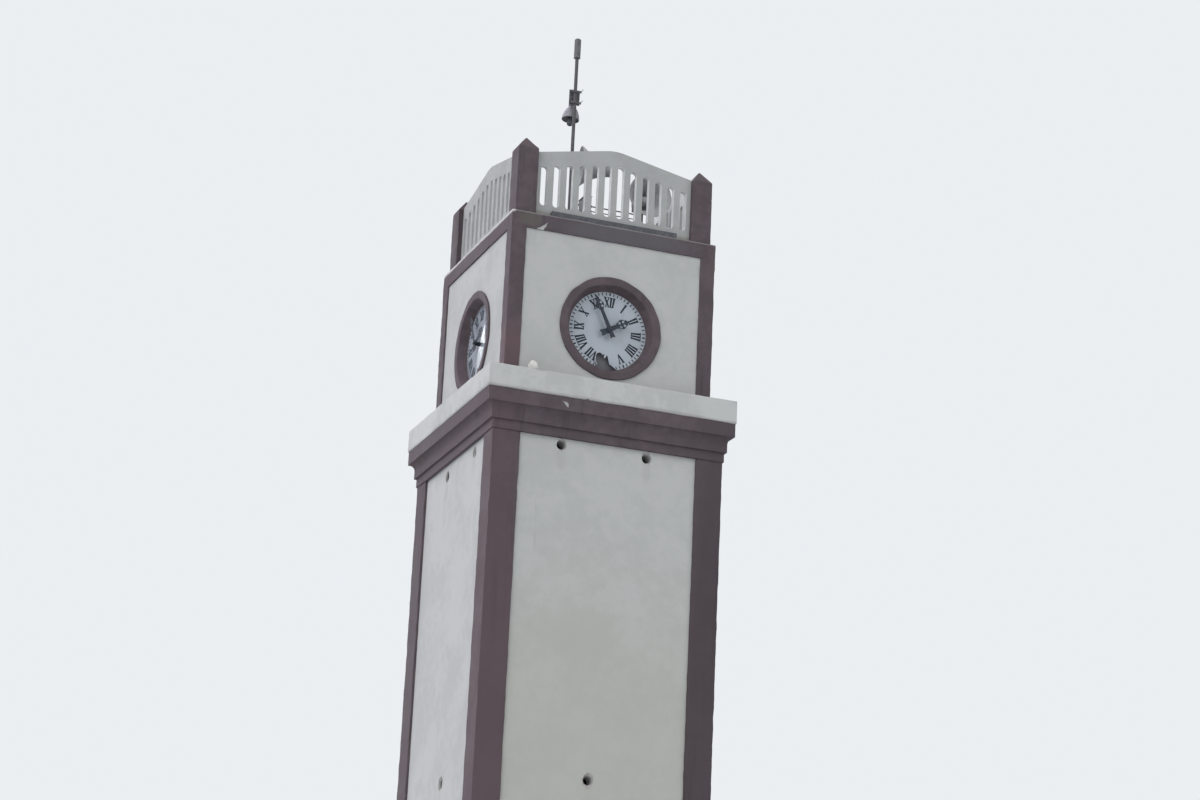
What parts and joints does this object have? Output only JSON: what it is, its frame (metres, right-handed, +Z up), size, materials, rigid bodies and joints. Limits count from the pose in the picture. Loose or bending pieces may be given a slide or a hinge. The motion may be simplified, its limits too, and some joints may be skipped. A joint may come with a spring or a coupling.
{
  "type": "clock tower",
  "caption": "Square plastered clock tower with maroon piers, moulded cornice, a dial on each face, a slotted pediment parapet and a horn mast.",
  "frame": {"origin": "centre of the tower's flat base, on the ground", "axes": "+Z up; the front, with the dial that shows best, faces -Y; the picture's left face is -X"},
  "size_m": [3.14, 3.14, 17.858],
  "materials": {
    "wall_paint": "weathered off-white paint on plaster",
    "trim_paint": "weathered maroon paint on plaster",
    "roof_screed": "cement screed",
    "cement_board": "bare grey cement board",
    "dial_white": "opal sheet",
    "hand_black": "black paint on sheet",
    "dark_metal": "dull dark paint",
    "grey_metal": "dull grey paint",
    "trim_metal": "maroon paint on sheet steel"
  },
  "bodies": {
    "tower": {"base_plinth": "trim_paint", "shaft_piers": "trim_paint", "cornice_moulding": "trim_paint", "cornice_slab": "wall_paint", "stage_piers": "trim_paint", "stage_beam": "trim_paint", "roof_slab": "roof_screed", "parapet_posts": "trim_paint", "dial_backs": "cement_board", "hand_arbors": "dark_metal", "mast": "dark_metal", "mast_head": "grey_metal", "mast_horn_body": "dark_metal", "mast_horn_bell": "grey_metal", "mast_clamps": "dark_metal", "roof_horn_frame": "dark_metal", "roof_horn_left": "dark_metal", "roof_horn_right": "dark_metal", "front_channel": "grey_metal", "door_frame": "dark_metal", "access_door": "trim_metal", "shaft_wall_front": "wall_paint", "stage_wall_front": "wall_paint", "parapet_front": "wall_paint", "dial_ring_front": "trim_paint", "dial_plate_front": "dial_white", "shaft_wall_right": "wall_paint", "stage_wall_right": "wall_paint", "parapet_right": "wall_paint", "dial_ring_right": "trim_paint", "dial_plate_right": "dial_white", "shaft_wall_back": "wall_paint", "stage_wall_back": "wall_paint", "parapet_back": "wall_paint", "dial_ring_back": "trim_paint", "dial_plate_back": "dial_white", "shaft_wall_left": "wall_paint", "stage_wall_left": "wall_paint", "parapet_left": "wall_paint", "dial_ring_left": "trim_paint", "dial_plate_left": "dial_white"},
    "minute_hand_front": {"minute_hand_front": "hand_black"},
    "hour_hand_front": {"hour_hand_front": "hand_black"},
    "minute_hand_right": {"minute_hand_right": "hand_black"},
    "hour_hand_right": {"hour_hand_right": "hand_black"},
    "minute_hand_back": {"minute_hand_back": "hand_black"},
    "hour_hand_back": {"hour_hand_back": "hand_black"},
    "minute_hand_left": {"minute_hand_left": "hand_black"},
    "hour_hand_left": {"hour_hand_left": "hand_black"}
  },
  "joints": [
    {"name": "minute_hand_front_turn", "type": "hinge", "parent": "tower", "child": "minute_hand_front", "pos_m": [0, -1.283, 13.563], "axis": [0, 1, 0], "continuous": true},
    {"name": "hour_hand_front_turn", "type": "hinge", "parent": "tower", "child": "hour_hand_front", "pos_m": [0, -1.267, 13.563], "axis": [0, 1, 0], "continuous": true},
    {"name": "minute_hand_right_turn", "type": "hinge", "parent": "tower", "child": "minute_hand_right", "pos_m": [1.283, 0, 13.563], "axis": [-1, 0, 0], "continuous": true},
    {"name": "hour_hand_right_turn", "type": "hinge", "parent": "tower", "child": "hour_hand_right", "pos_m": [1.267, 0, 13.563], "axis": [-1, 0, 0], "continuous": true},
    {"name": "minute_hand_back_turn", "type": "hinge", "parent": "tower", "child": "minute_hand_back", "pos_m": [0, 1.283, 13.563], "axis": [0, -1, 0], "continuous": true},
    {"name": "hour_hand_back_turn", "type": "hinge", "parent": "tower", "child": "hour_hand_back", "pos_m": [0, 1.267, 13.563], "axis": [0, -1, 0], "continuous": true},
    {"name": "minute_hand_left_turn", "type": "hinge", "parent": "tower", "child": "minute_hand_left", "pos_m": [-1.283, 0, 13.563], "axis": [1, 0, 0], "continuous": true},
    {"name": "hour_hand_left_turn", "type": "hinge", "parent": "tower", "child": "hour_hand_left", "pos_m": [-1.267, 0, 13.563], "axis": [1, 0, 0], "continuous": true}
  ],
  "couplings": [
    {"joint": "hour_hand_front_turn", "follows": "minute_hand_front_turn", "ratio": 0.083333},
    {"joint": "minute_hand_right_turn", "follows": "minute_hand_front_turn", "ratio": 1},
    {"joint": "hour_hand_right_turn", "follows": "minute_hand_front_turn", "ratio": 0.083333},
    {"joint": "minute_hand_back_turn", "follows": "minute_hand_front_turn", "ratio": 1},
    {"joint": "hour_hand_back_turn", "follows": "minute_hand_front_turn", "ratio": 0.083333},
    {"joint": "minute_hand_left_turn", "follows": "minute_hand_front_turn", "ratio": 1},
    {"joint": "hour_hand_left_turn", "follows": "minute_hand_front_turn", "ratio": 0.083333}
  ]
}
